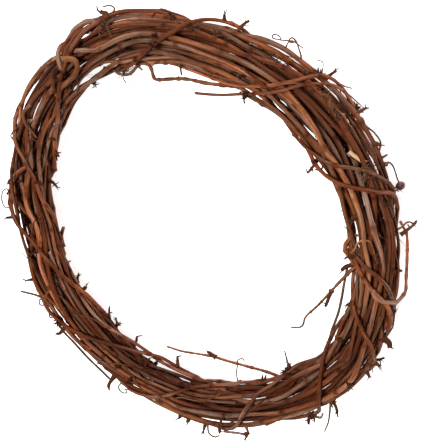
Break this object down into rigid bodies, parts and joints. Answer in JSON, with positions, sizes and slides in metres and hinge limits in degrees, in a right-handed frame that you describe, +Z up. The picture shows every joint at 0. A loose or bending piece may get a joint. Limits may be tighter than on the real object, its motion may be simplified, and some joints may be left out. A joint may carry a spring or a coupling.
{
  "type": "grapevine wreath",
  "caption": "Ring of coiled dried grape canes, bound round with more canes, with spurs, twigs and curly tendrils; lies flat.",
  "frame": {"origin": "middle of the wreath's outline in plan, on the surface that it lies on", "axes": "+Z up through the open middle of the ring; X and Y in the plane of the ring; -X points to the side where two long twigs reach into the hole, and the picture is taken from above the -Y side"},
  "size_m": [0.3142, 0.3038, 0.0379],
  "materials": {
    "bark_dark": "dry fibrous bark",
    "bark_red": "dry fibrous bark",
    "bark_light": "dry fibrous bark"
  },
  "bodies": {
    "root": {"binder_01": "bark_red", "binder_02": "bark_red", "binder_03": "bark_red", "binder_04": "bark_red", "coil_01": "bark_red", "coil_02": "bark_light", "coil_03": "bark_dark", "coil_04": "bark_red", "coil_05": "bark_light", "coil_06": "bark_dark", "coil_07": "bark_red", "coil_08": "bark_light", "coil_09": "bark_dark", "coil_10": "bark_red", "coil_11": "bark_light", "coil_12": "bark_dark", "coil_13": "bark_red", "coil_14": "bark_light", "coil_15": "bark_dark", "coil_16": "bark_red", "coil_17": "bark_light", "coil_18": "bark_dark", "coil_19": "bark_red", "coil_20": "bark_light"}
  },
  "joints": []
}
